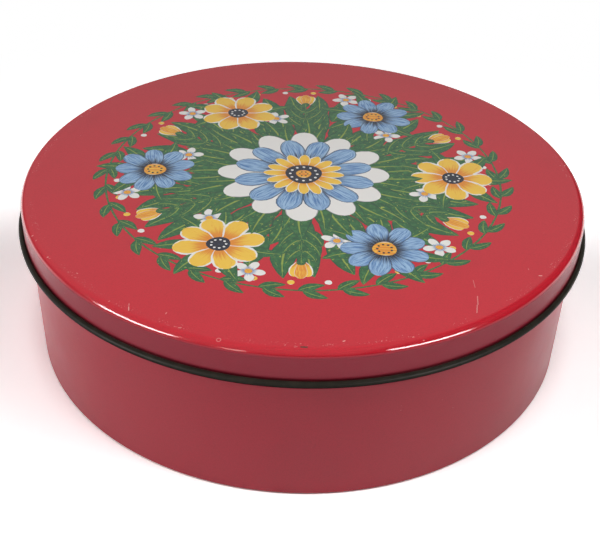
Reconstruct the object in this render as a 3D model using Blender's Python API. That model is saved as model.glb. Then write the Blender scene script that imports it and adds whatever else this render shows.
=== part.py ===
"""Round tinplate storage box with a lift-off lid.

Each of its three pieces is one sheet of tinplate: a wall rolled from a strip, whose ends hook into one
another in a side seam at the back, a base panel that the wall's folded foot holds, and a drawn lid.
Lengths are in metres. The box stands on the origin with Z up, and its front faces -Y.
"""

import math

import bmesh
import bpy
from mathutils import Vector

# Sheet, and the room left between pieces and between the folds of one piece
SHEET = 0.00028
TIGHT_BEND = 0.00028
SEAT_GAP = 0.0003
FOLD_GAP = 0.0002

# Lid
BOX_HEIGHT = 0.0689
LID_RADIUS = 0.115
SHOULDER_RADIUS = 0.0029
SKIRT_DEPTH = 0.0131
HEM_RADIUS = 0.0012
HEM_TURN = 300
LID_PLAY = 0.0001

# Mouth and foot of the wall
MOUTH_CURL_RADIUS = 0.00075
MOUTH_CURL_TURN = 280
FOOT_CORNER_RADIUS = 0.0009
FOOT_WIDTH = 0.0034

# Side seam
SIDE_SEAM_WIDTH = 0.004

# Base panel
BASE_RECESS = 0.0036
BASE_CORNER_RADIUS = 0.0012
BEAD_CIRCLE_RADIUS = 0.095
BEAD_WIDTH = 0.006
BEAD_HEIGHT = 0.0012
BEAD_BEND = 0.0008
BEAD_SLOPE = 40

# Flat facets around each turned piece; corners nearer than SAME_PLACE are one corner
FACETS = 72
FACET_ANGLE = math.radians(360 / FACETS)
SMOOTH_ANGLE = math.radians(50)
SAME_PLACE = 0.00001

# Headings, in degrees, of a section drawn with its radius to the right and its height up
OUTWARD = 0
INWARD = 180

# Sizes that follow from those above: the wall is set in from the skirt by its mouth curl
HALF_SHEET = SHEET / 2
LAYER = SHEET + SEAT_GAP
CURL_CENTRE_RADIUS = LID_RADIUS - SHEET - SEAT_GAP - LID_PLAY - MOUTH_CURL_RADIUS
WALL_OUTSIDE = CURL_CENTRE_RADIUS - MOUTH_CURL_RADIUS + SHEET
FLANGE_OUTSIDE = WALL_OUTSIDE - LAYER
LIP_END_RADIUS = WALL_OUTSIDE - FOOT_WIDTH + LAYER + HALF_SHEET
BASE_TOP = BASE_RECESS + SHEET

# The mouth curl seats in the lid's shoulder, a little above the shoulder's centre
SEAT_REACH = SHOULDER_RADIUS - SHEET - SEAT_GAP - MOUTH_CURL_RADIUS
SEAT_RISE = math.sqrt(SEAT_REACH**2 - (SEAT_REACH - LID_PLAY) ** 2)
CURL_CENTRE_HEIGHT = BOX_HEIGHT - SHOULDER_RADIUS + SEAT_RISE

# The side seam lies in one facet beside +Y, between the base panel and the mouth curl
SEAM_START_ANGLE = math.radians(90)
SEAM_ANGLE = SEAM_START_ANGLE + FACET_ANGLE / 2
SEAM_OUTWARD = Vector((math.cos(SEAM_ANGLE), math.sin(SEAM_ANGLE), 0))
SEAM_ALONG = Vector((-math.sin(SEAM_ANGLE), math.cos(SEAM_ANGLE), 0))
SEAM_LAYER = SHEET + FOLD_GAP
SEAM_BOTTOM = BASE_TOP + SEAT_GAP
SEAM_TOP = CURL_CENTRE_HEIGHT - MOUTH_CURL_RADIUS - 2 * FOLD_GAP


class BentSheet:
    """The two sides of a sheet seen edge on, drawn along its middle line by runs and bends."""

    def __init__(self, start, heading):
        self.middle = Vector(start)
        self.heading = math.radians(heading)
        self.sides = []
        self.mark()

    def left_normal(self):
        return Vector((-math.sin(self.heading), math.cos(self.heading)))

    def mark(self):
        across = self.left_normal() * HALF_SHEET
        self.sides.append((self.middle + across, self.middle - across))

    def run(self, length):
        self.middle += Vector((math.cos(self.heading), math.sin(self.heading))) * length
        self.mark()

    def bend(self, degrees, radius, steps):
        """Bend the middle line, to the left where degrees is positive."""
        reach = math.copysign(radius, degrees)
        centre = self.middle + self.left_normal() * reach
        for _ in range(steps):
            self.heading += math.radians(degrees) / steps
            self.middle = centre - self.left_normal() * reach
            self.mark()

    def outline(self):
        lefts = [left for left, _ in self.sides]
        rights = [right for _, right in self.sides]
        return rights + lefts[::-1]


def add_outline(bm, outline, angle):
    """Draw an outline of (radius, height) points in the upright plane at this angle."""
    outward = Vector((math.cos(angle), math.sin(angle), 0))
    verts = [bm.verts.new(outward * radius + Vector((0, 0, height))) for radius, height in outline]
    pairs = zip(verts, verts[1:] + verts[:1])
    edges = [bm.edges.new(pair) for pair in pairs if any(vert.co.xy.length > HALF_SHEET for vert in pair)]
    return verts, edges


def spin(bm, geometry, facets, closed):
    """Spin an outline about the box's axis, and return what it becomes at the far end."""
    return bmesh.ops.spin(
        bm,
        geom=geometry,
        axis=(0, 0, 1),
        angle=FACET_ANGLE * facets,
        steps=facets,
        use_merge=closed,
    )["geom_last"]


def finish(bm, name, colour, roughness, metallic):
    """Turn the shape into a named object with its own material."""
    bmesh.ops.recalc_face_normals(bm, faces=bm.faces)
    mesh = bpy.data.meshes.new(name)
    bm.to_mesh(mesh)
    bm.free()
    mesh.shade_smooth()
    mesh.set_sharp_from_angle(angle=SMOOTH_ANGLE)
    material = bpy.data.materials.new(name)
    material.use_nodes = True
    surface = material.node_tree.nodes["Principled BSDF"]
    surface.inputs["Base Color"].default_value = (*colour, 1)
    surface.inputs["Roughness"].default_value = roughness
    surface.inputs["Metallic"].default_value = metallic
    mesh.materials.append(material)
    item = bpy.data.objects.new(name, mesh)
    bpy.context.collection.objects.link(item)
    return item


def turned_disc(section, name, colour, roughness, metallic):
    """Turn a sheet's section that starts on the axis into a whole pressed disc."""
    bm = bmesh.new()
    verts, edges = add_outline(bm, section.outline(), 0)
    spin(bm, verts + edges, FACETS, closed=True)
    bmesh.ops.remove_doubles(bm, verts=bm.verts, dist=SAME_PLACE)
    return finish(bm, name, colour, roughness, metallic)


def lid_section():
    """From the middle of the top, over the shoulder and down the skirt, to the hem rolled outward."""
    section = BentSheet((0, SKIRT_DEPTH - HALF_SHEET), OUTWARD)
    section.run(LID_RADIUS - SHOULDER_RADIUS)
    section.bend(-90, SHOULDER_RADIUS - HALF_SHEET, steps=3)
    section.run(SKIRT_DEPTH - SHOULDER_RADIUS)
    section.bend(HEM_TURN, HEM_RADIUS - HALF_SHEET, steps=8)
    return section


def wall_section():
    """From the edge folded back over the base's lip, round the foot and up, to the mouth curl."""
    section = BentSheet((FLANGE_OUTSIDE - LAYER, HALF_SHEET + 2 * LAYER), INWARD)
    section.run(FLANGE_OUTSIDE - LAYER - LIP_END_RADIUS)
    section.bend(180, LAYER, steps=4)
    section.run(WALL_OUTSIDE - FOOT_CORNER_RADIUS - LIP_END_RADIUS)
    section.bend(90, FOOT_CORNER_RADIUS - HALF_SHEET, steps=3)
    section.run(CURL_CENTRE_HEIGHT - FOOT_CORNER_RADIUS)
    section.bend(-MOUTH_CURL_TURN, MOUTH_CURL_RADIUS - HALF_SHEET, steps=7)
    return section


def add_bead(section):
    """Press a raised bead into a level sheet: up one slope, along its crown and down the other."""
    slope = math.radians(BEAD_SLOPE)
    slant = (BEAD_HEIGHT - 2 * BEAD_BEND * (1 - math.cos(slope))) / math.sin(slope)
    crown = BEAD_WIDTH - 4 * BEAD_BEND * math.sin(slope) - 2 * slant * math.cos(slope)
    section.bend(BEAD_SLOPE, BEAD_BEND, steps=1)
    section.run(slant)
    section.bend(-BEAD_SLOPE, BEAD_BEND, steps=1)
    section.run(crown)
    section.bend(-BEAD_SLOPE, BEAD_BEND, steps=1)
    section.run(slant)
    section.bend(BEAD_SLOPE, BEAD_BEND, steps=1)


def base_section():
    """From the middle of the panel, over its bead and down the flange, to the lip turned inward."""
    corner = BASE_CORNER_RADIUS - HALF_SHEET
    lip_height = HALF_SHEET + LAYER
    bead_start = BEAD_CIRCLE_RADIUS - BEAD_WIDTH / 2
    section = BentSheet((0, BASE_RECESS + HALF_SHEET), OUTWARD)
    section.run(bead_start)
    add_bead(section)
    section.run(FLANGE_OUTSIDE - BASE_CORNER_RADIUS - bead_start - BEAD_WIDTH)
    section.bend(-90, corner, steps=3)
    section.run(BASE_RECESS + HALF_SHEET - corner - TIGHT_BEND - lip_height)
    section.bend(-90, TIGHT_BEND, steps=2)
    section.run(FLANGE_OUTSIDE - HALF_SHEET - TIGHT_BEND - LIP_END_RADIUS)
    return section


def on_seam_facet(along, radius, height):
    """A place in the side seam's facet, for a radius measured at the facet's corners."""
    apothem = radius * math.cos(FACET_ANGLE / 2)
    return SEAM_ALONG * along + SEAM_OUTWARD * apothem + Vector((0, 0, height))


def extend_end(bm, face, along):
    """Carry a whole end face of the strip straight on to this place along the seam's facet."""
    end = bmesh.ops.extrude_discrete_faces(bm, faces=[face])["faces"][0]
    for vert in end.verts:
        vert.co = on_seam_facet(along, vert.co.xy.length, vert.co.z)
    return end


def slice_face(bm, face, heights):
    """Cut a face across at these heights, and return its pieces from the lowest up."""
    geometry = [face, *face.edges, *face.verts]
    for height in heights:
        cut = bmesh.ops.bisect_plane(bm, geom=geometry, plane_co=(0, 0, height), plane_no=(0, 0, 1))
        geometry = cut["geom"]
    pieces = [item for item in geometry if isinstance(item, bmesh.types.BMFace)]
    return sorted(pieces, key=lambda piece: piece.calc_center_median().z)


def slide_face(bm, face, distance):
    """Carry a face straight on along the seam's facet."""
    end = bmesh.ops.extrude_discrete_faces(bm, faces=[face])["faces"][0]
    bmesh.ops.translate(bm, verts=end.verts, vec=SEAM_ALONG * distance)


def fold_face(bm, face, hook):
    """Carry a face on through each turn of a hook drawn in the seam's facet."""
    for before, after in zip(hook.sides, hook.sides[1:]):
        face = bmesh.ops.extrude_discrete_faces(bm, faces=[face])["faces"][0]
        for vert in face.verts:
            spots = [on_seam_facet(*side, vert.co.z) for side in before]
            nearest = min((0, 1), key=lambda index: (vert.co - spots[index]).length)
            vert.co = on_seam_facet(*after[nearest], vert.co.z)


def side_seam_hooks():
    """The two hooks seen from above, as places along the facet and radii.

    The outer hook goes on over the seam and folds back inside. The inner hook steps in, goes on behind
    it, and folds back between its two layers.
    """
    wall_middle = WALL_OUTSIDE - HALF_SHEET
    fold_reach = SEAM_LAYER + HALF_SHEET
    fold_left = fold_reach - SIDE_SEAM_WIDTH / 2
    fold_right = SIDE_SEAM_WIDTH / 2 - fold_reach
    step_start = SIDE_SEAM_WIDTH / 2 + FOLD_GAP + HALF_SHEET + TIGHT_BEND
    outer = BentSheet((fold_right, wall_middle), OUTWARD)
    outer.bend(-180, SEAM_LAYER, steps=4)
    outer.run(fold_right - fold_left)
    inner = BentSheet((step_start, wall_middle), INWARD)
    inner.bend(90, TIGHT_BEND, steps=2)
    inner.run(3 * SEAM_LAYER - 2 * TIGHT_BEND)
    inner.bend(-90, TIGHT_BEND, steps=2)
    inner.run(step_start - 2 * TIGHT_BEND - fold_left)
    inner.bend(-180, SEAM_LAYER, steps=4)
    inner.run(fold_right - fold_left)
    return outer, inner


def body_wall():
    """Roll the wall's strip almost full circle, then close its last facet with the side seam."""
    bm = bmesh.new()
    verts, edges = add_outline(bm, wall_section().outline(), SEAM_START_ANGLE + FACET_ANGLE)
    last = spin(bm, verts + edges, FACETS - 1, closed=False)
    inner_end = bm.faces.new(verts)
    outer_end = bm.faces.new([item for item in last if isinstance(item, bmesh.types.BMVert)])
    outer_hook, inner_hook = side_seam_hooks()
    notches = (SEAM_BOTTOM - FOLD_GAP, SEAM_BOTTOM, SEAM_TOP, SEAM_TOP + FOLD_GAP)
    split = SIDE_SEAM_WIDTH / 2
    for end, hook, edge in ((outer_end, outer_hook, split), (inner_end, inner_hook, split + FOLD_GAP)):
        start = hook.sides[0][0].x
        foot, _, middle, _, mouth = slice_face(bm, extend_end(bm, end, start), notches)
        fold_face(bm, middle, hook)
        slide_face(bm, foot, edge - start)
        slide_face(bm, mouth, edge - start)
    return finish(bm, "body_wall", colour=(0.42, 0.05, 0.06), roughness=0.25, metallic=0)


def main():
    for item in list(bpy.data.objects):
        bpy.data.objects.remove(item)
    box = bpy.data.objects.new("round_storage_box", None)
    bpy.context.collection.objects.link(box)
    lid = turned_disc(lid_section(), "lid", colour=(0.55, 0.055, 0.065), roughness=0.25, metallic=0)
    lid.location.z = BOX_HEIGHT - SKIRT_DEPTH
    base = turned_disc(base_section(), "base_panel", colour=(0.034, 0.031, 0.022), roughness=0.3, metallic=0)
    for piece in (lid, body_wall(), base):
        piece.parent = box


main()
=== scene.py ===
"""The looks of the round tinplate storage box: gloss lacquer, a printed lid and light wear."""

import math
import random

import bmesh
import bpy
from mathutils import Matrix, Vector
from mathutils.geometry import delaunay_2d_cdt


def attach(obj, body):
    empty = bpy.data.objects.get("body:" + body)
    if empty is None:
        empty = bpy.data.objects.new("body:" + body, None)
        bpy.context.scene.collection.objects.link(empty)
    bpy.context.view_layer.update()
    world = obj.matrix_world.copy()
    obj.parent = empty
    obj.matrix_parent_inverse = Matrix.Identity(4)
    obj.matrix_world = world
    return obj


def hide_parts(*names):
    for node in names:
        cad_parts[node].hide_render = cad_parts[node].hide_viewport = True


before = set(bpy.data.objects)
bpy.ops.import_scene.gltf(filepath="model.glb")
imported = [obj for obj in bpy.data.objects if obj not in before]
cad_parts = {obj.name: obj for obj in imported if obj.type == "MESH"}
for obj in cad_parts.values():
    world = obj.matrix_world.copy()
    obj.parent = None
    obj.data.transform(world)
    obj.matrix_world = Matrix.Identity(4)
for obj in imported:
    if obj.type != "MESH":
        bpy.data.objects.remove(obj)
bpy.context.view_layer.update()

# Sizes of the box, as its solids have them
SHEET = 0.00028
HALF_SHEET = SHEET / 2
TIGHT_BEND = 0.00028
SEAT_GAP = 0.0003
FOLD_GAP = 0.0002
LAYER = SHEET + SEAT_GAP
BOX_HEIGHT = 0.0689
LID_RADIUS = 0.115
SHOULDER_RADIUS = 0.0029
SKIRT_DEPTH = 0.0131
HEM_RADIUS = 0.0012
HEM_TURN = 300
LID_PLAY = 0.0001
MOUTH_CURL_RADIUS = 0.00075
MOUTH_CURL_TURN = 280
FOOT_CORNER_RADIUS = 0.0009
FOOT_WIDTH = 0.0034
SIDE_SEAM_WIDTH = 0.004
BASE_RECESS = 0.0036
BASE_CORNER_RADIUS = 0.0012
BEAD_CIRCLE_RADIUS = 0.095
BEAD_WIDTH = 0.006
BEAD_HEIGHT = 0.0012
BEAD_BEND = 0.0008
BEAD_SLOPE = 40

CURL_CENTRE_RADIUS = LID_RADIUS - SHEET - SEAT_GAP - LID_PLAY - MOUTH_CURL_RADIUS
WALL_OUTSIDE = CURL_CENTRE_RADIUS - MOUTH_CURL_RADIUS + SHEET
FLANGE_OUTSIDE = WALL_OUTSIDE - LAYER
LIP_END_RADIUS = WALL_OUTSIDE - FOOT_WIDTH + LAYER + HALF_SHEET
SEAT_REACH = SHOULDER_RADIUS - SHEET - SEAT_GAP - MOUTH_CURL_RADIUS
SEAT_RISE = math.sqrt(SEAT_REACH**2 - (SEAT_REACH - LID_PLAY) ** 2)
CURL_CENTRE_HEIGHT = BOX_HEIGHT - SHOULDER_RADIUS + SEAT_RISE
HEM_HEIGHT = BOX_HEIGHT - SKIRT_DEPTH
HEM_TOP = HEM_HEIGHT + HEM_RADIUS
# Height of the painted shade band on the skirt just above the hem
GROOVE_SHADE_RISE = 0.0010
SEAM_ANGLE = math.radians(92.5)
SEAM_LAYER = SHEET + FOLD_GAP
SEAM_BOTTOM = BASE_RECESS + SHEET + SEAT_GAP
SEAM_TOP = CURL_CENTRE_HEIGHT - MOUTH_CURL_RADIUS - 2 * FOLD_GAP

# Fineness of the turned sheets
FACETS = 288
BEND_STEP = 15
SMOOTH_ANGLE = math.radians(40)

# Corners nearer to a surface than this lie on it
CLOSE = HALF_SHEET / 4

# Headings, in degrees, of a section drawn with its radius to the right and its height up
OUTWARD = 0
INWARD = 180

# Camera, fitted to the photograph's outlines; distances are shares of the lid's radius
LENS_MM = 60.58
SENSOR_MM = 36
PITCH_DEGREES = 35.50
ROLL_DEGREES = 1.749
DISTANCE_SHARE = 4.0024
AIM_SIDE_SHARE = -0.0013
AIM_RISE_SHARE = -0.1411

# Print
MM = 0.001
PRINT_RADIUS = 0.0865
RIM_BAND = 0.0006


def srgb(red, green, blue):
    """A colour given as it looks on a screen, from 0 to 255, as linear light."""
    shares = (channel / 255 for channel in (red, green, blue))
    return tuple(x / 12.92 if x <= 0.04045 else ((x + 0.055) / 1.055) ** 2.4 for x in shares) + (1,)


RED = (0.620, 0.010, 0.026, 1)
# The lid's red darkened for its skirt: painted shade on the upright skirt
SKIRT_SHADE_RED = (0.385, 0.010, 0.034, 1)
# The wall's red, a little darker than the lid's: painted shade on the upright wall
WALL_SHADE_RED = (0.555, 0.010, 0.036, 1)
BLACK = (0, 0, 0, 1)
CHIP = srgb(240, 176, 172)
DARK_CHIP = srgb(64, 48, 34)
DARK_LACQUER = (0.018, 0.0160, 0.0115, 1)
DEEP_GREEN = srgb(42, 96, 56)
MID_GREEN = srgb(66, 128, 68)
LIME = srgb(184, 196, 74)
WHITE = srgb(240, 237, 233)
NAVY = srgb(28, 32, 50)
PALE_BLUE = srgb(158, 192, 224)
MID_BLUE = srgb(84, 128, 184)
YELLOW = srgb(248, 200, 70)
ORANGE = srgb(232, 140, 40)


def facing(angle):
    return Vector((math.cos(angle), math.sin(angle)))


class BentSheet:
    """The two sides of a sheet seen edge on, drawn along its middle line by runs and bends."""

    def __init__(self, start, heading):
        self.middle = Vector(start)
        self.heading = math.radians(heading)
        self.sides = []
        self.mark()

    def left_normal(self):
        return Vector((-math.sin(self.heading), math.cos(self.heading)))

    def mark(self):
        across = self.left_normal() * HALF_SHEET
        self.sides.append((self.middle + across, self.middle - across))

    def run(self, length):
        self.middle += facing(self.heading) * length
        self.mark()

    def bend(self, degrees, radius):
        """Bend the middle line, to the left where degrees is positive."""
        steps = max(2, round(abs(degrees) / BEND_STEP))
        reach = math.copysign(radius, degrees)
        centre = self.middle + self.left_normal() * reach
        for _ in range(steps):
            self.heading += math.radians(degrees) / steps
            self.middle = centre - self.left_normal() * reach
            self.mark()


def lid_section():
    """From the edge of the flat top, over the shoulder and down the skirt, to the hem rolled outward."""
    section = BentSheet((LID_RADIUS - SHOULDER_RADIUS, BOX_HEIGHT - HALF_SHEET), OUTWARD)
    section.bend(-90, SHOULDER_RADIUS - HALF_SHEET)
    section.run(SKIRT_DEPTH - SHOULDER_RADIUS)
    section.bend(HEM_TURN, HEM_RADIUS - HALF_SHEET)
    return section


def wall_section():
    """From the edge folded back over the base's lip, round the foot and up, to the mouth curl."""
    section = BentSheet((FLANGE_OUTSIDE - LAYER, HALF_SHEET + 2 * LAYER), INWARD)
    section.run(FLANGE_OUTSIDE - LAYER - LIP_END_RADIUS)
    section.bend(180, LAYER)
    section.run(WALL_OUTSIDE - FOOT_CORNER_RADIUS - LIP_END_RADIUS)
    section.bend(90, FOOT_CORNER_RADIUS - HALF_SHEET)
    section.run(CURL_CENTRE_HEIGHT - FOOT_CORNER_RADIUS)
    section.bend(-MOUTH_CURL_TURN, MOUTH_CURL_RADIUS - HALF_SHEET)
    return section


def base_section():
    """From the middle of the panel, over its bead and down the flange, to the lip turned inward."""
    corner = BASE_CORNER_RADIUS - HALF_SHEET
    slope = math.radians(BEAD_SLOPE)
    slant = (BEAD_HEIGHT - 2 * BEAD_BEND * (1 - math.cos(slope))) / math.sin(slope)
    crown = BEAD_WIDTH - 4 * BEAD_BEND * math.sin(slope) - 2 * slant * math.cos(slope)
    bead_start = BEAD_CIRCLE_RADIUS - BEAD_WIDTH / 2
    section = BentSheet((0, BASE_RECESS + HALF_SHEET), OUTWARD)
    section.run(bead_start)
    section.bend(BEAD_SLOPE, BEAD_BEND)
    section.run(slant)
    section.bend(-BEAD_SLOPE, BEAD_BEND)
    section.run(crown)
    section.bend(-BEAD_SLOPE, BEAD_BEND)
    section.run(slant)
    section.bend(BEAD_SLOPE, BEAD_BEND)
    section.run(FLANGE_OUTSIDE - BASE_CORNER_RADIUS - bead_start - BEAD_WIDTH)
    section.bend(-90, corner)
    section.run(BASE_RECESS - corner - TIGHT_BEND - LAYER)
    section.bend(-90, TIGHT_BEND)
    section.run(FLANGE_OUTSIDE - HALF_SHEET - TIGHT_BEND - LIP_END_RADIUS)
    return section


# Meshes

def at(radius, angle, height):
    return Vector((radius * math.cos(angle), radius * math.sin(angle), height))


def turn_points(bm, points, angles, closed, slot):
    """Turn a line of (radius, height) points about the box's axis, and return its rings of corners."""
    rings = []
    for radius, height in points:
        if radius < HALF_SHEET:
            rings.append([bm.verts.new((0, 0, height))] * len(angles))
        else:
            rings.append([bm.verts.new(at(radius, angle, height)) for angle in angles])
    count = len(angles)
    for inner, outer in zip(rings, rings[1:]):
        for index in range(count if closed else count - 1):
            after = (index + 1) % count
            corners = [inner[index], outer[index], outer[after], inner[after]]
            face = bm.faces.new(list(dict.fromkeys(corners)))
            face.material_index = slot
    return rings


def turn_sheet(bm, section, angles, closed, slots):
    """Turn the left and the right side of a sheet, each with its own material slot."""
    sides = zip(zip(*section.sides), slots)
    return [turn_points(bm, side, angles, closed, slot) for side, slot in sides]


def join_rings(bm, first, second, slot):
    """Close the sheet's cut edge between the last rings of its two sides."""
    count = len(first)
    for index in range(count):
        after = (index + 1) % count
        face = bm.faces.new((first[index], first[after], second[after], second[index]))
        face.material_index = slot


def full_circle():
    return [math.tau * index / FACETS for index in range(FACETS)]


def new_object(name, data):
    item = bpy.data.objects.new(name, data)
    bpy.context.collection.objects.link(item)
    return item


def new_piece(bm, name, materials, body, node):
    """Make the finished object, ride it on its body and let it stand for its node."""
    bmesh.ops.recalc_face_normals(bm, faces=bm.faces)
    mesh = bpy.data.meshes.new(name)
    bm.to_mesh(mesh)
    bm.free()
    mesh.shade_smooth()
    mesh.set_sharp_from_angle(angle=SMOOTH_ANGLE)
    for material in materials:
        mesh.materials.append(material)
    piece = new_object(name, mesh)
    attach(piece, body)
    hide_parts(node)


def add_base(materials):
    bm = bmesh.new()
    lefts, rights = turn_sheet(bm, base_section(), full_circle(), True, (0, 1))
    join_rings(bm, lefts[-1], rights[-1], 1)
    new_piece(bm, "base_sheet", materials, "tin", "base_panel")


def on_seam(along, radius, height):
    return at(radius, SEAM_ANGLE + along / WALL_OUTSIDE, height)


def side_seam_hooks():
    """The two hooks seen from above, as places along the wall and radii."""
    wall_middle = WALL_OUTSIDE - HALF_SHEET
    fold_reach = SEAM_LAYER + HALF_SHEET
    fold_left = fold_reach - SIDE_SEAM_WIDTH / 2
    fold_right = SIDE_SEAM_WIDTH / 2 - fold_reach
    step_start = SIDE_SEAM_WIDTH / 2 + FOLD_GAP + HALF_SHEET + TIGHT_BEND
    outer = BentSheet((fold_right, wall_middle), OUTWARD)
    outer.bend(-180, SEAM_LAYER)
    outer.run(fold_right - fold_left)
    inner = BentSheet((step_start, wall_middle), INWARD)
    inner.bend(90, TIGHT_BEND)
    inner.run(3 * SEAM_LAYER - 2 * TIGHT_BEND)
    inner.bend(-90, TIGHT_BEND)
    inner.run(step_start - 2 * TIGHT_BEND - fold_left)
    inner.bend(-180, SEAM_LAYER)
    inner.run(fold_right - fold_left)
    return outer, inner


def slice_face(bm, face, heights):
    """Cut a face across at these heights, and return its pieces from the lowest up."""
    geometry = [face, *face.edges, *face.verts]
    for height in heights:
        cut = bmesh.ops.bisect_plane(bm, geom=geometry, plane_co=(0, 0, height), plane_no=(0, 0, 1))
        geometry = cut["geom"]
    pieces = [item for item in geometry if isinstance(item, bmesh.types.BMFace)]
    return sorted(pieces, key=lambda piece: piece.calc_center_median().z)


def carry_face(bm, face, place):
    """Extrude a face and move each corner of its new end to place(corner)."""
    end = bmesh.ops.extrude_discrete_faces(bm, faces=[face])["faces"][0]
    for vert in end.verts:
        vert.co = place(vert.co)
    return end


def fold_face(bm, face, hook, outside_is_left):
    """Carry a face on through each turn of a hook drawn across the wall."""
    for before, after in zip(hook.sides, hook.sides[1:]):
        def follow(corner):
            spots = [on_seam(*side, corner.z) for side in before]
            nearest = min((0, 1), key=lambda index: (corner - spots[index]).length)
            return on_seam(*after[nearest], corner.z)

        old = set(bm.faces)
        face = carry_face(bm, face, follow)
        for side_face in set(bm.faces) - old:
            side_face.material_index = seam_side_slot(side_face, before, outside_is_left)


def seam_side_slot(face, before, outside_is_left):
    """Slot 0 where a hook's new face continues the wall's red outside, and 1 elsewhere."""
    outside = before[0 if outside_is_left else 1]
    distances = [(vert.co - on_seam(*outside, vert.co.z)).length for vert in face.verts]
    return 0 if sum(distance < CLOSE for distance in distances) >= 2 else 1


def wall_slot(face):
    """Slot 0 where a face lies on the wall's red outside, and 1 elsewhere."""
    return 0 if all(abs(vert.co.xy.length - WALL_OUTSIDE) < CLOSE for vert in face.verts) else 1


def add_wall(materials):
    """Turn the wall's strip almost full circle, then close it with the side seam."""
    bm = bmesh.new()
    outer_hook, inner_hook = side_seam_hooks()
    outer_start = outer_hook.sides[0][0].x
    inner_start = inner_hook.sides[0][0].x
    first = SEAM_ANGLE + inner_start / WALL_OUTSIDE
    last = SEAM_ANGLE + outer_start / WALL_OUTSIDE + math.tau
    start_facet = math.ceil(first * FACETS / math.tau + 0.5)
    last_facet = math.floor(last * FACETS / math.tau - 0.5)
    between = [math.tau * index / FACETS for index in range(start_facet, last_facet + 1)]
    angles = [first, *between, last]
    lefts, rights = turn_sheet(bm, wall_section(), angles, False, (1, 0))
    for left_ring, right_ring in ((lefts[0], rights[0]), (lefts[-1], rights[-1])):
        for index in range(len(angles) - 1):
            corners = (left_ring[index], left_ring[index + 1], right_ring[index + 1], right_ring[index])
            bm.faces.new(corners).material_index = 1
    split = SIDE_SEAM_WIDTH / 2
    notches = (SEAM_BOTTOM - FOLD_GAP, SEAM_BOTTOM, SEAM_TOP, SEAM_TOP + FOLD_GAP)
    ends = ((-1, outer_hook, split, True), (0, inner_hook, split + FOLD_GAP, False))
    for index, hook, edge, outside_is_left in ends:
        end = bm.faces.new([ring[index] for ring in rights] + [ring[index] for ring in reversed(lefts)])
        end.material_index = 1
        slide = (edge - hook.sides[0][0].x) / WALL_OUTSIDE
        turn = Matrix.Rotation(slide, 3, "Z")
        foot, _, middle, _, mouth = slice_face(bm, end, notches)
        fold_face(bm, middle, hook, outside_is_left)
        for band in (foot, mouth):
            old = set(bm.faces)
            carry_face(bm, band, lambda corner: turn @ corner)
            for face in set(bm.faces) - old:
                face.material_index = wall_slot(face)
    new_piece(bm, "wall_sheet", materials, "tin", "body_wall")


# The lid's print: leaves, petals and dots, each drawn on its own midline

LEAF_POWERS = (0.8, 0.85)
PETAL_ROOT = 0.30
PETAL_WIDEST = 0.66
DROP_WIDEST = 0.55
DROP_SPREAD = 1.02
DROP_END = 0.575
STEM_TAPER = 0.4

# Strokes: parts of a midline, what counts as straight, and the least step and half width
MIDLINE_PARTS = 6
STRAIGHT = 1e-6
SAME_POINT = 0.05 * MM
LEAST_HALF_SHARE = 0.08
CUT_ACCURACY = 1e-7

# Places and sizes in the print
GARLAND_PAIRS = 36
GARLAND_INSET = 5.2 * MM
BERRY_INSET = 4.6 * MM
BLOSSOM_CIRCLES = (73 * MM, 51 * MM)
FLOWER_CIRCLE = 62 * MM
FLOWER_LENGTH = 17 * MM
SPRAY_START = 39 * MM
SPRAY_LENGTH = 27 * MM
BUD_CIRCLE = 63 * MM

# Foliage, in rings: how many leaves, the start, length and half width in millimetres, and the bend
FOLIAGE = ((36, 49, 25, 4.9, 0.5), (30, 32, 24, 4.5, -0.5))

# Flowers by turns: how many petals, the kind of petal and heart, and the petal's half width
FLOWERS = ((8, "yellow", "navy", 4.9 * MM), (9, "blue", "orange", 4.3 * MM))

# Leaves of a spray: their place as a share of its stem, and their length in millimetres
SPRAY_LEAVES = ((0.10, 15.5), (0.36, 13.5), (0.62, 10.5))

# The middle's rings: kind, shape, count, start, length and half width in millimetres, bend, and turn in steps
ROSETTE = (
    ("leaf", "leaf", 16, 21, 29, 5.4, 0.45, 0.0),
    ("leaf", "leaf", 16, 18, 26, 4.2, -0.45, 0.5),
    ("white", "petal", 12, 10, 26, 6.6, 0.0, 0.0),
    ("blue", "petal", 12, 8, 21.5, 5.2, 0.0, 0.5),
    ("yellow", "petal", 16, 4, 12.5, 2.5, 0.0, 0.0),
)


def leaf_shape(u):
    first, second = LEAF_POWERS
    return math.sin(math.pi * u**first) ** second


def round_end(u, widest, size):
    return math.sqrt(max(0, size * (1 - ((u - widest) / (1 - widest)) ** 2)))


def petal_shape(u):
    if u < PETAL_WIDEST:
        return PETAL_ROOT + (1 - PETAL_ROOT) * math.sin(math.pi / 2 * u / PETAL_WIDEST)
    return round_end(u, PETAL_WIDEST, 1)


def drop_shape(u):
    return math.sqrt(u) * DROP_SPREAD if u < DROP_WIDEST else round_end(u, DROP_WIDEST, DROP_END)


def stem_shape(u):
    return 1 - STEM_TAPER * u


SHAPES = {"leaf": leaf_shape, "petal": petal_shape, "drop": drop_shape, "stem": stem_shape}


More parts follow.
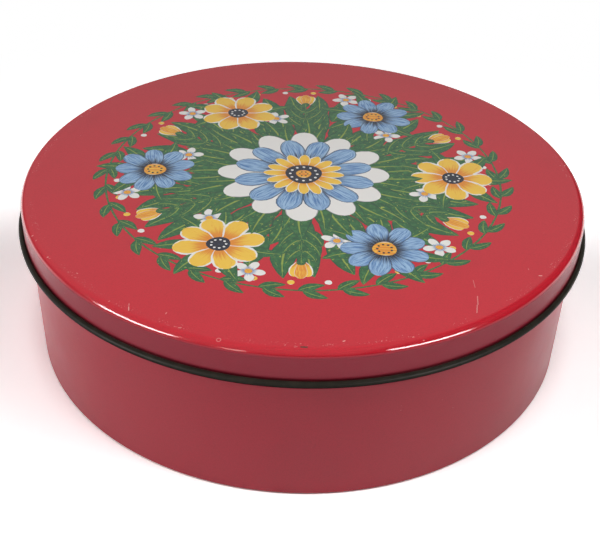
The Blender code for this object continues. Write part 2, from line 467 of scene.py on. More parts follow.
class Stroke:
    """One painted shape: a midline that bends evenly, and a half width that follows a named shape."""

    def __init__(
        self, kind, shape, root, heading, length, half_width, bend=0.0, tone=0.5, samples=9, wobble=0.05
    ):
        self.kind = kind
        self.root = Vector(root)
        self.heading = heading
        self.length = length
        self.half_width = half_width
        self.curve = bend / length
        self.tone = tone
        self.shape = SHAPES[shape]
        self.samples = samples
        self.wobble = wobble

    def half_at(self, u):
        uneven = 1 + self.wobble * math.sin(9 * u + 40 * self.tone)
        return self.half_width * self.shape(min(max(u, 0), 1)) * uneven

    def place(self, u, across):
        """The point at share u of the midline, this far to its left."""
        heading = self.heading + self.curve * self.length * u
        normal = Vector((-math.sin(heading), math.cos(heading)))
        if abs(self.curve) < STRAIGHT:
            along = facing(heading) * self.length * u
            return self.root + along + normal * across
        first_normal = Vector((-math.sin(self.heading), math.cos(self.heading)))
        centre = self.root + first_normal / self.curve
        return centre - normal * (1 / self.curve - across)

    def measure(self, point):
        """Where a point lies: its share of the midline, and how far across from -1 to 1."""
        direction = facing(self.heading)
        normal = Vector((-direction.y, direction.x))
        offset = point - self.root
        if abs(self.curve) < STRAIGHT:
            along, across = offset.dot(direction), offset.dot(normal)
        else:
            arm = offset - normal / self.curve
            start = -normal / self.curve
            angle = math.atan2(start.x * arm.y - start.y * arm.x, start.dot(arm))
            along = angle / self.curve
            across = 1 / self.curve - math.copysign(arm.length, self.curve)
        u = min(max(along / self.length, 0), 1)
        v = across / max(self.half_at(u), self.half_width * LEAST_HALF_SHARE)
        return u, min(max(v, -1), 1)

    def outline(self):
        steps = [index / (self.samples - 1) for index in range(self.samples)]
        eased = [0.5 - 0.5 * math.cos(math.pi * step) for step in steps]
        right = [self.place(u, -self.half_at(u)) for u in eased]
        left = [self.place(u, self.half_at(u)) for u in reversed(eased)]
        points = right + left
        kept = [points[0]]
        for point in points[1:]:
            if (point - kept[-1]).length > SAME_POINT:
                kept.append(point)
        if (kept[0] - kept[-1]).length <= SAME_POINT:
            kept.pop()
        return kept

    def midline(self):
        return [self.place(step / MIDLINE_PARTS, 0) for step in range(1, MIDLINE_PARTS)]


class Dot:
    """A painted round spot."""

    def __init__(self, kind, centre, radius, tone=0.5, samples=16, wobble=0.04):
        self.kind = kind
        self.centre = Vector(centre)
        self.radius = radius
        self.tone = tone
        self.samples = samples
        self.wobble = wobble

    def outline(self):
        points = []
        for index in range(self.samples):
            angle = math.tau * index / self.samples
            radius = self.radius * (1 + self.wobble * math.sin(3 * angle + 50 * self.tone))
            points.append(self.centre + facing(angle) * radius)
        return points

    def measure(self, point):
        offset = (point - self.centre) / self.radius
        return min(offset.length, 1), offset.y

    def midline(self):
        return []


def polar(radius, degrees):
    return facing(math.radians(degrees)) * radius


def paint_garland(rng):
    """A ring of paired leaves with berries between, round the edge of the print."""
    ring = PRINT_RADIUS - GARLAND_INSET
    step = 360 / GARLAND_PAIRS
    shapes = []
    for index in range(GARLAND_PAIRS):
        degrees = step * index
        shapes.append(Stroke("leaf", "stem", polar(ring, degrees), math.radians(degrees + 90), 14.6 * MM,
                             0.55 * MM, bend=math.radians(step), tone=rng.random(), samples=5, wobble=0))
    for index in range(GARLAND_PAIRS):
        degrees = step * index
        for side in (-1, 1):
            lean = 90 - side * (38 + rng.uniform(-4, 4))
            root = polar(ring, degrees + side * 0.6)
            length = (10.2 + rng.uniform(-0.8, 0.8)) * MM
            shapes.append(Stroke("leaf", "leaf", root, math.radians(degrees + lean), length, 2.1 * MM,
                                 bend=side * 0.5, tone=rng.random()))
        berry = polar(ring - BERRY_INSET, degrees + 7.4)
        kind = "yellow" if index % 3 else "white"
        shapes.append(Dot(kind, berry, 1.35 * MM, tone=rng.random(), samples=12))
    return shapes


def paint_foliage(rng):
    """A dense wreath of broad leaves behind the flowers."""
    shapes = []
    for count, start, length, half_width, bend in FOLIAGE:
        for index in range(count):
            degrees = 360 / count * (index + 0.5) + rng.uniform(-1.5, 1.5)
            size = (length + rng.uniform(-2, 2)) * MM
            heading = math.radians(degrees) - bend / 2
            shapes.append(Stroke("leaf", "leaf", polar(start * MM, degrees), heading, size, half_width * MM,
                                 bend=bend, tone=rng.random(), samples=12))
    return shapes


def paint_blossoms(rng):
    """Small white blossoms strewn over the foliage."""
    shapes = []
    for index in range(12):
        centre = polar(BLOSSOM_CIRCLES[index % 2], 30 * index + 15)
        turn = rng.uniform(0, 72)
        for petal in range(5):
            heading = turn + 72 * petal
            shapes.append(Stroke("white", "drop", centre, math.radians(heading), 6.4 * MM, 2.5 * MM,
                                 tone=rng.random(), samples=10))
        shapes.append(Dot("orange", centre, 1.5 * MM, tone=rng.random(), samples=12))
    return shapes


def paint_flower(rng, centre, degrees, length, petals, petal_kind, heart_kind, half_width):
    """A flower: leaves behind, a ring of petals, a heart and a circle of small dots on it."""
    shapes = []
    for index in range(7):
        heading = degrees + 360 / 7 * index + rng.uniform(-6, 6)
        root = centre + polar(length * 0.45, heading)
        shapes.append(Stroke("leaf", "leaf", root, math.radians(heading - 14), length * 1.02, length * 0.20,
                             bend=0.5, tone=rng.random(), samples=11))
    for index in range(petals):
        heading = degrees + 360 / petals * index + rng.uniform(-2, 2)
        size = length * (1 + rng.uniform(-0.05, 0.05))
        root = centre + polar(length * 0.14, heading)
        shapes.append(Stroke(petal_kind, "petal", root, math.radians(heading), size * 0.86, half_width,
                             bend=rng.uniform(-0.12, 0.12), tone=rng.random(), samples=11))
    shapes.append(Dot(heart_kind, centre, length * 0.27, tone=rng.random(), samples=20))
    small = 9
    for index in range(small):
        spot = centre + polar(length * 0.165, degrees + 360 / small * index)
        shapes.append(Dot("white" if heart_kind == "navy" else "navy", spot, length * 0.03, samples=8))
    return shapes


def paint_spray(rng, degrees):
    """A spray that grows outward between two flowers: a bud on a stem with three pairs of curved leaves."""
    shapes = []
    root = polar(SPRAY_START, degrees)
    heading = math.radians(degrees)
    shapes.append(Stroke("leaf", "stem", root, heading, SPRAY_LENGTH, 0.7 * MM, tone=rng.random(), samples=5,
                         wobble=0))
    for share, size in SPRAY_LEAVES:
        for side in (-1, 1):
            start = root + polar(SPRAY_LENGTH * share, degrees)
            length = (size + rng.uniform(-0.8, 0.8)) * MM
            shapes.append(Stroke("leaf", "leaf", start, heading + side * 0.95, length, 2.7 * MM,
                                 bend=-side * 0.75, tone=rng.random(), samples=11))
    bud = polar(BUD_CIRCLE, degrees)
    for side in (-1, 1):
        shapes.append(Stroke("yellow", "petal", bud, heading + side * 0.42, 10.5 * MM, 2.5 * MM,
                             bend=-side * 0.35, tone=rng.random(), samples=10))
    shapes.append(Stroke("orange", "petal", bud, heading, 11.4 * MM, 2.4 * MM,
                         tone=rng.random(), samples=10))
    shapes.append(Stroke("leaf", "drop", bud - polar(1.6 * MM, degrees), heading, 4.6 * MM, 2.5 * MM,
                         tone=rng.random(), samples=8))
    return shapes


def paint_rosette(rng):
    """The middle of the print: leaves, two rings of petals, a collar and a dotted heart."""
    shapes = []
    for kind, shape, count, start, length, half_width, bend, shift in ROSETTE:
        for index in range(count):
            degrees = 360 / count * (index + shift) + rng.uniform(-1.2, 1.2)
            heading = math.radians(degrees) - bend / 2
            size = (length + rng.uniform(-0.6, 0.6)) * MM
            shapes.append(Stroke(kind, shape, polar(start * MM, degrees), heading, size, half_width * MM,
                                 bend=bend, tone=rng.random(), samples=12))
    shapes.append(Dot("navy", (0, 0), 7.6 * MM, samples=28))
    for index in range(12):
        shapes.append(Dot("white", polar(5.6 * MM, 30 * index), 0.62 * MM, samples=8))
    shapes.append(Dot("orange", (0, 0), 3.2 * MM, samples=18))
    for index in range(6):
        shapes.append(Dot("navy", polar(1.7 * MM, 60 * index), 0.4 * MM, samples=8))
    return shapes


def paint_print():
    rng = random.Random(5)
    shapes = paint_garland(rng) + paint_foliage(rng)
    for index in range(6):
        shapes += paint_spray(rng, 60 * index + 30)
    shapes += paint_blossoms(rng)
    for index in range(6):
        degrees = 60 * index
        centre = polar(FLOWER_CIRCLE, degrees)
        shapes += paint_flower(rng, centre, degrees, FLOWER_LENGTH, *FLOWERS[index % 2])
    return shapes + paint_rosette(rng)


PRINT_SLOTS = {"ground": 0, "leaf": 2, "blue": 3, "yellow": 4, "orange": 5, "white": 6, "navy": 7}


def fill_flat_top(bm, ring, stroke_layer, tone_layer):
    """Cut the lid's flat top along every painted outline, and mark each face with what is painted on it."""
    shapes = paint_print()
    points = [vert.co.xy.copy() for vert in ring]
    points += [point * (1 - RIM_BAND / LID_RADIUS) for point in points]
    edges = []
    faces = [list(range(len(ring)))]
    for shape in shapes:
        outline = shape.outline()
        faces.append(list(range(len(points), len(points) + len(outline))))
        points += outline
        middle = shape.midline()
        edges += [(len(points) + index, len(points) + index + 1) for index in range(len(middle) - 1)]
        points += middle
    flat_points, _, flat_faces, sources, _, cover = delaunay_2d_cdt(
        points, edges, faces, 1, CUT_ACCURACY
    )
    verts = [None] * len(flat_points)
    for index, source in enumerate(sources):
        rim = [old for old in source if old < len(ring)]
        verts[index] = ring[rim[0]] if rim else None
    for index, point in enumerate(flat_points):
        if verts[index] is None:
            verts[index] = bm.verts.new((point.x, point.y, BOX_HEIGHT))
    for corners, covering in zip(flat_faces, cover):
        if not covering:
            continue
        face = bm.faces.new([verts[index] for index in corners])
        top = max(covering)
        kind = "ground" if top == 0 else shapes[top - 1].kind
        face.material_index = PRINT_SLOTS[kind]
        if top:
            face[tone_layer] = shapes[top - 1].tone
            for loop in face.loops:
                loop[stroke_layer].uv = shapes[top - 1].measure(loop.vert.co.xy)


def add_lid(materials):
    """Turn the lid's shoulder, skirt and hem, and close it with the printed top and the plain underside."""
    bm = bmesh.new()
    stroke_layer = bm.loops.layers.uv.new("stroke")
    tone_layer = bm.faces.layers.float.new("tone")
    angles = full_circle()
    lefts, rights = turn_sheet(bm, lid_section(), angles, True, (0, 1))
    join_rings(bm, lefts[-1], rights[-1], 1)
    centre = bm.verts.new((0, 0, BOX_HEIGHT - SHEET))
    for index in range(len(angles)):
        bm.faces.new((rights[0][index], rights[0][(index + 1) % len(angles)], centre)).material_index = 1
    fill_flat_top(bm, lefts[0], stroke_layer, tone_layer)
    new_piece(bm, "lid_sheet", materials, "lid", "lid")


# Materials: each lacquer's range of roughness, and how it varies over the box

RED_GLOSS = (0.08, 0.14)
INSIDE_GLOSS = (0.38, 0.50)
UPRIGHT_SOFTER = 0.20
# How dark the painted shade on the skirt above the hem is
GROOVE_SHADE_DARKNESS = 0.62
PEEL_DEPTH = 0.00002
INSIDE_SHINE = 0.40
HEM_DULLER = 0.32
TONE_SHIFTS = (31, 17)


class Graph:
    """A material's nodes, added and joined by short calls."""

    def __init__(self, name):
        self.material = bpy.data.materials.new(name)
        self.material.use_nodes = True
        self.tree = self.material.node_tree
        self.shader = self.tree.nodes["Principled BSDF"]

    def add(self, kind, values=(), **settings):
        node = self.tree.nodes.new(kind)
        for name, value in settings.items():
            setattr(node, name, value)
        for key, value in dict(values).items():
            self.feed(node.inputs[key], value)
        return node

    def feed(self, socket, value):
        feed(self.tree, socket, value)

    def place(self):
        """Where a point is, in metres, in the piece's own frame."""
        return self.add("ShaderNodeTexCoord").outputs["Object"]

    def maths(self, operation, first, second=0.0):
        return self.add("ShaderNodeMath", {0: first, 1: second}, operation=operation).outputs[0]

    def vector(self, operation, first, second):
        return self.add("ShaderNodeVectorMath", {0: first, 1: second}, operation=operation).outputs[0]

    def measure(self, operation, first, second):
        return self.add("ShaderNodeVectorMath", {0: first, 1: second}, operation=operation).outputs["Value"]

    def scaled(self, vector, scale):
        return self.vector("MULTIPLY", vector, scale)

    def from_axis(self, place):
        """How far a place is from the box's axis."""
        return self.measure("LENGTH", self.scaled(place, (1, 1, 0)), (0, 0, 0))

    def noise(self, vector, scale, detail=3.0, roughness=0.5):
        values = {"Vector": vector, "Scale": scale, "Detail": detail, "Roughness": roughness}
        return self.add("ShaderNodeTexNoise", values).outputs["Fac"]

    def ramp(self, value, low, high):
        """0 below low and 1 above high, eased between; low may be the larger."""
        return eased(self.tree, value, low, high, 0.0, 1.0)

    def mix(self, first, second, share):
        return self.add("ShaderNodeMix", {0: share, 6: first, 7: second}, data_type="RGBA").outputs[2]

    def multiply(self, first, second):
        return self.maths("MULTIPLY", first, second)

    def largest(self, values):
        result = values[0]
        for value in values[1:]:
            result = self.maths("MAXIMUM", result, value)
        return result

    def finish(self, colour, roughness, bump):
        self.feed(self.shader.inputs["Base Color"], colour)
        self.feed(self.shader.inputs["Roughness"], roughness)
        node = self.add("ShaderNodeBump", {"Height": bump, "Distance": PEEL_DEPTH, "Strength": 1.0})
        self.feed(self.shader.inputs["Normal"], node.outputs["Normal"])
        return self.material


# Marks of wear on the lid: the bearing from the front and the distance from the axis of each mark's middle,
# its heading in degrees, its length, its half width, and how strongly it shows
PALE_MARKS = (
    (-62.9, 0.1135, 20, 0.0006, 0.00026, 0.70),
    (-60.9, 0.1131, 70, 0.0003, 0.00020, 0.45),
    (-54.6, 0.1131, 10, 0.0003, 0.00024, 0.80),
    (-54.0, 0.1129, 0, 0.0004, 0.00016, 0.45),
    (-46.6, 0.1094, 120, 0.0005, 0.00018, 0.40),
    (-35.8, 0.1120, 60, 0.0004, 0.00018, 0.35),
    (-32.3, 0.1093, 100, 0.0010, 0.00013, 0.60),
    (-31.6, 0.1110, 98, 0.0020, 0.00014, 0.85),
    (-25.1, 0.1065, 75, 0.0008, 0.00018, 0.45),
    (-20.9, 0.1113, 10, 0.0008, 0.00020, 0.40),
    (-0.5, 0.1121, 15, 0.0008, 0.00018, 0.30),
    (7.8, 0.1094, 25, 0.0006, 0.00022, 0.85),
    (14.2, 0.1112, 60, 0.0003, 0.00018, 0.40),
    (19.8, 0.1118, 30, 0.0004, 0.00020, 0.55),
    (21.3, 0.1138, 0, 0.0003, 0.00018, 0.60),
    (51.9, 0.1101, 5, 0.0009, 0.00024, 0.85),
    (52.3, 0.1048, 95, 0.0008, 0.00014, 0.30),
    (39.8, 0.0966, 272, 0.0044, 0.00013, 0.35),
    (36.4, 0.1043, 265, 0.0050, 0.00015, 0.60),
    (34.5, 0.1078, 261, 0.0044, 0.00015, 0.55),
    (97.0, 0.1122, 40, 0.0006, 0.00022, 0.70),
    (141.0, 0.1106, 130, 0.0010, 0.00020, 0.60),
    (-118.0, 0.1118, 80, 0.0005, 0.00024, 0.70),
    (-152.0, 0.1129, 10, 0.0008, 0.00018, 0.50),
)
DARK_MARKS = ((0.9, 0.1121, 0, 0.0018, 0.00034, 0.95),)
RING_MARK = (-13.5, 0.1127)
RING_MARK_RADIUS = 0.0007
RING_MARK_WIDTH = 0.00025
NICK_BEARING = 57.2
NICK_HEIGHTS = (0.0594, 0.0606)
NICK_WIDTH = 0.00024
FLECK_BAND = (0.1092, 0.1104, 0.1114, 0.1126)
FLECK_GRAIN = 1500

# How strongly small marks show, and the ragged edge of every mark
RING_STRENGTH = 0.35
NICK_STRENGTH = 0.8
FLECK_STRENGTH = 0.35
SPECK_STRENGTH = 0.35
RAGGED_GRAIN = 2600
RAGGED_DEPTH = 0.0004


def rim_place(degrees, radius):
    """A place on the lid's top or shoulder, by its bearing from the front and its distance from the axis."""
    over = max(0.0, radius - (LID_RADIUS - SHOULDER_RADIUS))
    drop = SHOULDER_RADIUS - math.sqrt(SHOULDER_RADIUS**2 - over**2)
    bearing = math.radians(degrees)
    return Vector((radius * math.sin(bearing), -radius * math.cos(bearing), BOX_HEIGHT - drop))


def line_mask(graph, place, ragged, start, end, half_width):
    """1 within half_width of the line from start to end, with a ragged edge."""
    along = end - start
    offset = graph.vector("SUBTRACT", place, start)
    share = graph.measure("DOT_PRODUCT", offset, along / along.length_squared)
    share = graph.add("ShaderNodeMath", {0: share, 1: 0}, operation="ADD", use_clamp=True).outputs[0]
    shares = graph.add("ShaderNodeCombineXYZ", {0: share, 1: share, 2: share}).outputs[0]
    distance = graph.measure("DISTANCE", offset, graph.vector("MULTIPLY", shares, along))
    return graph.ramp(graph.maths("ADD", distance, ragged), half_width * 1.4, half_width * 0.6)


def marks_mask(graph, place, ragged, marks):
    """A mask of short ragged marks, each as strong as its share says."""
    masks = []
    for bearing, radius, heading, length, half_width, strength in marks:
        middle = rim_place(bearing, radius)
        reach = at(length / 2, math.radians(heading), 0)
        mask = line_mask(graph, place, ragged, middle - reach, middle + reach, half_width)
        masks.append(graph.multiply(mask, strength))
    return graph.largest(masks)


def lacquer_wear(graph, place, colour):
    """Chips, scratches and a small ring on the lid's edge, a nick on its skirt, and flecks round its rim."""
    ragged = graph.multiply(graph.maths("SUBTRACT", graph.noise(place, RAGGED_GRAIN, 3), 0.5), RAGGED_DEPTH)
    pale = marks_mask(graph, place, ragged, PALE_MARKS)
    from_middle = graph.measure("DISTANCE", place, rim_place(*RING_MARK))
    off_ring = graph.maths("ABSOLUTE", graph.maths("SUBTRACT", from_middle, RING_MARK_RADIUS))
    ring = graph.multiply(graph.ramp(off_ring, RING_MARK_WIDTH, RING_MARK_WIDTH / 3), RING_STRENGTH)
    radius = graph.from_axis(place)
    band = graph.multiply(graph.ramp(radius, *FLECK_BAND[:2]), graph.ramp(radius, *reversed(FLECK_BAND[2:])))
    patches = graph.ramp(graph.noise(place, 60, 2), 0.42, 0.60)
    fine = graph.ramp(graph.noise(place, FLECK_GRAIN, 3), 0.60, 0.70)
    flecks = graph.multiply(fine, graph.multiply(band, patches))
    pale = graph.largest((pale, ring, graph.multiply(flecks, FLECK_STRENGTH)))
    colour = graph.mix(colour, CHIP, pale)
    bearing = math.radians(NICK_BEARING) - math.pi / 2
    low, high = (at(LID_RADIUS, bearing, height) for height in NICK_HEIGHTS)
    nick = graph.multiply(line_mask(graph, place, ragged, low, high, NICK_WIDTH), NICK_STRENGTH)
    dark = graph.largest((marks_mask(graph, place, ragged, DARK_MARKS), nick))
    return graph.mix(colour, DARK_CHIP, dark)


def gloss(graph, place, low, high):
    """Roughness that varies a little, as handled lacquer does."""
    smears = graph.noise(place, 38, 4, 0.6)
    values = {"Value": smears, "From Min": 0.35, "From Max": 0.65, "To Min": low, "To Max": high}
    return graph.add("ShaderNodeMapRange", values).outputs["Result"]


def peel(graph, place):
    """The faint unevenness of stoved lacquer over thin sheet."""
    fine = graph.noise(place, 1500, 2)
    broad = graph.noise(place, 26, 2)
    return graph.maths("ADD", graph.multiply(fine, 0.004), graph.multiply(broad, 1.0))


def red_lacquer(name, red, skirt_shade_red, worn):
    """Red lacquer that turns from red to a darker red down the lid's shoulder, as painted shade on the
    upright skirt, and is softer on upright sheet.
    """
    graph = Graph(name)
    place = graph.place()
    grain = graph.noise(place, 2200, 3, 0.7)
    cloud = graph.noise(place, 30, 3)
    height = graph.add("ShaderNodeSeparateXYZ", {0: place}).outputs["Z"]
    # Painted shade: below the shoulder the red turns darker, standing in for the skirt's lesser light
    down = graph.ramp(height, BOX_HEIGHT - SHOULDER_RADIUS / 2, BOX_HEIGHT - SHOULDER_RADIUS)
    colour = graph.mix(red, skirt_shade_red, down)
    shade = graph.maths("ADD", graph.multiply(graph.ramp(grain, 0.6, 0.25), 0.14),
                        graph.multiply(graph.ramp(cloud, 0.45, 0.75), 0.05))
    colour = graph.mix(colour, BLACK, shade)
    specks = graph.ramp(graph.noise(place, 900, 1), 0.80, 0.86)
    colour = graph.mix(colour, CHIP, graph.multiply(specks, SPECK_STRENGTH))
    if worn:
        # Painted shade: the skirt darkens towards black just above the hem, where the hem shades it
        groove_shade = graph.ramp(height, HEM_TOP + GROOVE_SHADE_RISE, HEM_TOP)
        colour = graph.mix(colour, BLACK, graph.multiply(groove_shade, GROOVE_SHADE_DARKNESS))
        colour = lacquer_wear(graph, place, colour)
    upright = graph.ramp(height, BOX_HEIGHT - SHOULDER_RADIUS * 0.75, BOX_HEIGHT - SHOULDER_RADIUS)
    roughness = graph.maths("ADD", gloss(graph, place, *RED_GLOSS), graph.multiply(upright, UPRIGHT_SOFTER))
    return graph.finish(colour, roughness, peel(graph, place))


def painted(name, paint):
    """A printed colour under the same gloss lacquer: paint gets the graph and the stroke's place."""
    graph = Graph(name)
    place = graph.place()
    stroke = graph.add("ShaderNodeAttribute", attribute_name="stroke").outputs["Vector"]
    tone = graph.add("ShaderNodeAttribute", attribute_name="tone").outputs["Fac"]
    shifts = {index: graph.multiply(tone, shift) for index, shift in enumerate(TONE_SHIFTS)}
    moved = graph.vector("ADD", stroke, graph.add("ShaderNodeCombineXYZ", shifts).outputs[0])
    parts = graph.add("ShaderNodeSeparateXYZ", {0: stroke})
    across = graph.maths("ABSOLUTE", parts.outputs["Y"])
    colour = paint(graph, moved, parts.outputs["X"], across, place)
    return graph.finish(colour, gloss(graph, place, *RED_GLOSS), peel(graph, place))


def brushed(graph, moved, along, across, low, high):
    """Dry brush marks: long along the stroke and narrow across it."""
    return graph.ramp(graph.noise(graph.scaled(moved, (along, across, 1)), 1, 5, 0.62), low, high)


def from_root(graph, moved, u, stretch, raggedness, low, high):
    """A ragged share that is 1 at the stroke's root and falls to 0 along it."""
    grain = graph.noise(graph.scaled(moved, (*stretch, 1)), 1, 4)
    return graph.ramp(graph.maths("ADD", u, graph.multiply(grain, raggedness)), low, high)


def paint_leaf(graph, moved, u, across, place):
    mottle = graph.ramp(graph.noise(place, 420, 4, 0.7), 0.42, 0.68)
    colour = graph.mix(DEEP_GREEN, MID_GREEN, graph.multiply(mottle, 0.75))
    colour = graph.mix(colour, LIME, graph.multiply(brushed(graph, moved, 9, 2.6, 0.60, 0.68), 0.8))
    colour = graph.mix(colour, LIME, graph.multiply(graph.ramp(across, 0.11, 0.04), 0.55))
    return graph.mix(colour, NAVY, graph.multiply(graph.ramp(across, 0.80, 1.0), 0.55))


def paint_blue(graph, moved, u, across, place):
    colour = graph.mix(PALE_BLUE, MID_BLUE, brushed(graph, moved, 2.4, 7, 0.42, 0.62))
    colour = graph.mix(colour, NAVY, from_root(graph, moved, u, (1.2, 11), 0.9, 0.95, 0.62))
    return graph.mix(colour, NAVY, graph.multiply(graph.ramp(across, 0.84, 0.96), 0.8))


def paint_yellow(graph, moved, u, across, place):
    colour = graph.mix(YELLOW, ORANGE, from_root(graph, moved, u, (1.5, 9), 0.8, 1.0, 0.6))
    colour = graph.mix(colour, ORANGE, graph.multiply(brushed(graph, moved, 2, 8, 0.58, 0.68), 0.6))
    edge = graph.maths("ADD", across, graph.multiply(brushed(graph, moved, 3, 6, 0.3, 0.7), 0.18))
    return graph.mix(colour, WHITE, graph.ramp(edge, 0.88, 0.96))


def paint_orange(graph, moved, u, across, place):
    colour = graph.mix(ORANGE, YELLOW, brushed(graph, moved, 2, 6, 0.45, 0.60))
    return graph.mix(colour, WHITE, graph.multiply(graph.ramp(across, 0.86, 0.97), 0.7))


def paint_white(graph, moved, u, across, place):
    root = from_root(graph, moved, u, (1.0, 8), 0.8, 0.86, 0.60)
    colour = graph.mix(WHITE, MID_BLUE, graph.multiply(root, 0.85))
    return graph.mix(colour, NAVY, graph.multiply(graph.ramp(across, 0.90, 0.98), 0.75))


def paint_navy(graph, moved, u, across, place):
    mottle = graph.ramp(graph.noise(place, 900, 4), 0.60, 0.75)
    return graph.mix(NAVY, MID_BLUE, graph.multiply(mottle, 0.4))


def dark_lacquer(name):
    graph = Graph(name)
    place = graph.place()
    cloud = graph.ramp(graph.noise(place, 240, 4), 0.35, 0.7)
    paler = tuple(channel * 1.8 for channel in DARK_LACQUER[:3]) + (1,)
    colour = graph.mix(DARK_LACQUER, paler, graph.multiply(cloud, 0.6))
    height = graph.add("ShaderNodeSeparateXYZ", {0: place}).outputs["Z"]
    # Painted shade: the hem's underside is darkened towards black and loses its gloss, where it faces down
    # into shade
    under = graph.ramp(height, HEM_HEIGHT - HEM_RADIUS * 0.10, HEM_HEIGHT - HEM_RADIUS * 0.40)
    on_hem = graph.ramp(graph.from_axis(place), LID_RADIUS, LID_RADIUS + HEM_RADIUS / 4)
    under = graph.multiply(under, on_hem)
    colour = graph.mix(colour, BLACK, under)
    shine = graph.maths("SUBTRACT", INSIDE_SHINE, graph.multiply(on_hem, HEM_DULLER))
    level = graph.multiply(graph.maths("SUBTRACT", 1.0, under), shine)
    graph.feed(graph.shader.inputs["Specular IOR Level"], level)
    return graph.finish(colour, gloss(graph, place, *INSIDE_GLOSS), peel(graph, place))


def make_materials():
    red = red_lacquer("lid red lacquer", RED, SKIRT_SHADE_RED, worn=True)
    dark = dark_lacquer("inside lacquer")
    wall = red_lacquer("wall red lacquer", WALL_SHADE_RED, WALL_SHADE_RED, worn=False)
    paints = (paint_leaf, paint_blue, paint_yellow, paint_orange, paint_white, paint_navy)
    printed = [painted(paint.__name__.replace("paint_", "print "), paint) for paint in paints]
    return red, dark, wall, printed


# Stage, light and camera

FLOOR_HALF = 4.0
FLOOR_DROP = 0.0002
FLOOR_SEEN = 1.54
FLOOR_GLOSSY = 0.90
FLOOR_PLAIN = 0.62
WORLD_PLAIN = 0.14
POOL_RADIUS = 0.28
POOL_HEIGHT = 1.40
POOL_BACK = 0.15
POOL_CENTRE = -0.15
POOL_WATTS = 33
POOL_SOFTNESS = 0.20
FAR_START = 0.17
FAR_END = 0.33
REAR_SEEN = (0.03, 0.10, 1.6)
REAR_GLOSSY = (-0.09, 0.06, 2.3)
ROOM_UPWARD = (0.0, 0.62, 0.15, 0.72)
ROOM_SIDEWAYS = (0.30, 0.48, 1.0, 0.25)
CLIP_START = 0.01

# Lamps: bearing, rise, distance, size, watts, and whether one lights the lacquer's gloss or its colour
LAMPS = {
    "left": (-75, 27, 1.0, (0.5, 0.5), 3.4, False),
    "right": (75, 40, 1.0, (0.5, 0.5), 1.2, False),
    "right front": (55, 55, 0.6, (0.3, 0.3), 0.95, False),
    "left glint": (-58, 15, 1.0, (0.54, 0.24), 11.0, True),
    "middle glint": (-22, 13, 1.0, (0.16, 0.05), 0.7, True),
    "right glint": (46, 19, 1.0, (0.50, 0.24), 10.0, True),
}


def feed(tree, socket, value):
    """Link a value that is a socket, and set one that is not."""
    if isinstance(value, bpy.types.NodeSocket):
        tree.links.new(value, socket)
    else:
        socket.default_value = value


def by_ray(tree, plain, glossy, camera):
    """A grey value that differs for camera rays, glossy rays and all other rays."""
    path = tree.nodes.new("ShaderNodeLightPath")
    value = plain
    for ray, amount in (("Is Glossy Ray", glossy), ("Is Camera Ray", camera)):
        choice = tree.nodes.new("ShaderNodeMix")
        feed(tree, choice.inputs["Factor"], path.outputs[ray])
        feed(tree, choice.inputs["A"], value)
        feed(tree, choice.inputs["B"], amount)
        value = choice.outputs["Result"]
    return value


def eased(tree, value, low, high, first, last):
    """A value that goes from first to last as another goes from low to high."""
    ramp = tree.nodes.new("ShaderNodeMapRange")
    ramp.interpolation_type = "SMOOTHSTEP"
    for index, item in enumerate((value, low, high, first, last)):
        feed(tree, ramp.inputs[index], item)
    return ramp.outputs["Result"]


def product(tree, first, second):
    node = tree.nodes.new("ShaderNodeMath")
    node.operation = "MULTIPLY"
    feed(tree, node.inputs[0], first)
    feed(tree, node.inputs[1], second)
    return node.outputs[0]


def add_floor():
    """A white floor that keeps the box's shadow, and fades into the white surround far away."""
    half = FLOOR_HALF
    mesh = bpy.data.meshes.new("floor")
    corners = [(-half, -half, 0), (half, -half, 0), (half, half, 0), (-half, half, 0)]
    mesh.from_pydata(corners, [], [(0, 1, 2, 3)])
    floor = new_object("floor", mesh)
    floor.location.z = -FLOOR_DROP
    material = bpy.data.materials.new("floor")
    material.use_nodes = True
    tree = material.node_tree
    tree.nodes.clear()
    place = tree.nodes.new("ShaderNodeTexCoord").outputs["Object"]
    parts = tree.nodes.new("ShaderNodeSeparateXYZ")
    tree.links.new(place, parts.inputs[0])
    levels = []
    for level, (start, end, gain) in ((FLOOR_GLOSSY, REAR_GLOSSY), (FLOOR_SEEN, REAR_SEEN)):
        levels.append(eased(tree, parts.outputs["Y"], start, end, level, level * gain))
    glossy, seen = levels
    near = tree.nodes.new("ShaderNodeBsdfDiffuse")
    tree.links.new(by_ray(tree, FLOOR_PLAIN, glossy, seen), near.inputs["Color"])
    far = tree.nodes.new("ShaderNodeEmission")
    tree.links.new(by_ray(tree, FLOOR_PLAIN, glossy, 1.0), far.inputs["Strength"])
    distance = tree.nodes.new("ShaderNodeVectorMath")
    distance.operation = "LENGTH"
    tree.links.new(place, distance.inputs[0])
    both = tree.nodes.new("ShaderNodeMixShader")
    tree.links.new(eased(tree, distance.outputs["Value"], FAR_START, FAR_END, 0.0, 1.0), both.inputs["Fac"])
    tree.links.new(near.outputs[0], both.inputs[1])
    tree.links.new(far.outputs[0], both.inputs[2])
    output = tree.nodes.new("ShaderNodeOutputMaterial")
    tree.links.new(both.outputs[0], output.inputs["Surface"])
    mesh.materials.append(material)


def add_world():
    """White where the camera sees it, a graded room in reflections, and dimmer for all else."""
    world = bpy.data.worlds.new("surround")
    bpy.context.scene.world = world
    world.use_nodes = True
    tree = world.node_tree
    background = tree.nodes["Background"]
    direction = tree.nodes.new("ShaderNodeTexCoord")
    parts = tree.nodes.new("ShaderNodeSeparateXYZ")
    tree.links.new(direction.outputs["Generated"], parts.inputs[0])
    upward = eased(tree, parts.outputs["Z"], *ROOM_UPWARD)
    sideways = eased(tree, parts.outputs["X"], *ROOM_SIDEWAYS)
    room = product(tree, upward, sideways)
    tree.links.new(by_ray(tree, WORLD_PLAIN, room, 1.0), background.inputs["Strength"])
    background.inputs["Color"].default_value = (1, 1, 1, 1)


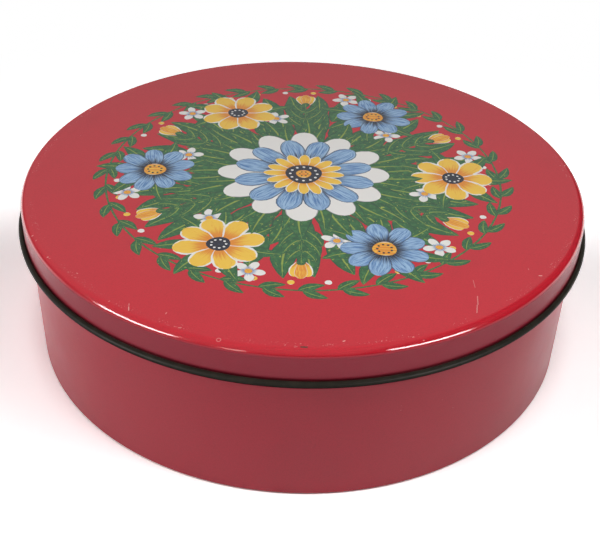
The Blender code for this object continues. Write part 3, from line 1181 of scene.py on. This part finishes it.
def add_lamp(name, place, size, watts, lights_gloss):
    """A soft box that faces the lid, and lights either the gloss of the lacquer or its colour."""
    lamp = bpy.data.lights.new(name, "AREA")
    lamp.shape = "RECTANGLE"
    lamp.size, lamp.size_y = size
    lamp.energy = watts
    item = new_object(name, lamp)
    item.location = place
    item.rotation_euler = (Vector((0, 0, BOX_HEIGHT)) - Vector(place)).to_track_quat("-Z", "Y").to_euler()
    item.visible_camera = False
    item.visible_glossy = lights_gloss
    item.visible_diffuse = not lights_gloss


def toward(side_degrees, rise_degrees, distance):
    """A place at a bearing from the front, a rise over the lid and a distance from it."""
    bearing, rise = math.radians(side_degrees), math.radians(rise_degrees)
    reach = distance * math.cos(rise)
    return (reach * math.sin(bearing), -reach * math.cos(bearing), BOX_HEIGHT + distance * math.sin(rise))


def add_pool():
    """A soft-edged pool of light from high in front, on the floor before the box and the lid's front."""
    lamp = bpy.data.lights.new("pool", "SPOT")
    lamp.energy = POOL_WATTS
    lamp.spot_size = 2 * math.atan(POOL_RADIUS / math.hypot(POOL_HEIGHT, POOL_BACK))
    lamp.spot_blend = 1.0
    lamp.shadow_soft_size = POOL_SOFTNESS
    item = new_object("pool", lamp)
    item.location = (0, POOL_CENTRE - POOL_BACK, POOL_HEIGHT)
    item.rotation_euler = Vector((0, POOL_BACK, -POOL_HEIGHT)).to_track_quat("-Z", "Y").to_euler()
    item.visible_camera = False
    item.visible_glossy = False


def add_lamps():
    add_pool()
    for name, (bearing, rise, distance, size, watts, lights_gloss) in LAMPS.items():
        add_lamp(name, toward(bearing, rise, distance), size, watts, lights_gloss)



def add_camera():
    pitch = math.radians(PITCH_DEGREES)
    roll = math.radians(ROLL_DEGREES)
    forward = Vector((0, math.cos(pitch), -math.sin(pitch)))
    level_up = Vector((0, math.sin(pitch), math.cos(pitch)))
    side = Vector((1, 0, 0))
    right = side * math.cos(roll) + level_up * math.sin(roll)
    up = level_up * math.cos(roll) - side * math.sin(roll)
    away = -(forward * DISTANCE_SHARE + right * AIM_SIDE_SHARE + up * AIM_RISE_SHARE) * LID_RADIUS
    data = bpy.data.cameras.new("camera")
    data.lens = LENS_MM
    data.sensor_width = SENSOR_MM
    data.clip_start = CLIP_START
    camera = new_object("camera", data)
    camera.matrix_world = Matrix.Translation(away) @ Matrix((right, up, -forward)).transposed().to_4x4()
    bpy.context.scene.camera = camera


red, dark, wall, printed = make_materials()
add_lid([red, dark, *printed])
add_wall([wall, dark])
add_base([dark, dark])
add_floor()
add_world()
add_lamps()
add_camera()
bpy.context.scene.view_settings.view_transform = "Standard"
